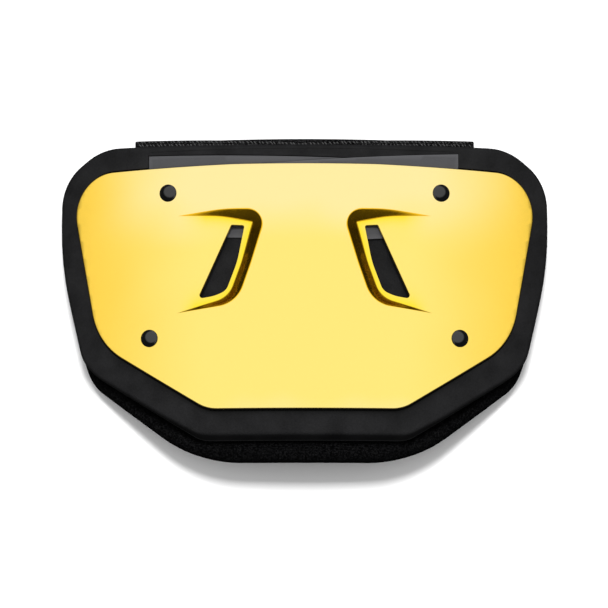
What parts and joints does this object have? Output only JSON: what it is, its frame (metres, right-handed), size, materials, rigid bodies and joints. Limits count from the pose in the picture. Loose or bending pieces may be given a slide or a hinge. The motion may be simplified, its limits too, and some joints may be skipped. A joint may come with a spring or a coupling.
{
  "type": "football back plate",
  "caption": "Curved lower-back guard for football: glossy metallic hard shell with stamped vents, riveted over a foam board with trapped straps and a padded fabric back.",
  "frame": {"origin": "centre of the overall box in plan, on the plane that the pad's sides rest on", "axes": "+X across the wearer, to the right in the picture; +Y towards the upper edge; +Z outwards from the wearer's back through the shell"},
  "size_m": [0.3214, 0.2143, 0.0598],
  "materials": {
    "plate_gold": "mirror-like gold metallised plastic",
    "foam_black": "fine matt closed-cell foam",
    "knit_black": "coarse black knitted mesh over padding",
    "webbing_grey": "flat woven grey webbing",
    "rivet_black": "gloss black paint"
  },
  "bodies": {
    "root": {"hard_plate": "plate_gold", "foam_base": "foam_black", "back_pad": "knit_black", "strap_left": "webbing_grey", "strap_right": "webbing_grey", "rivet_upper_left": "rivet_black", "rivet_upper_right": "rivet_black", "rivet_lower_left": "rivet_black", "rivet_lower_right": "rivet_black"}
  },
  "joints": []
}
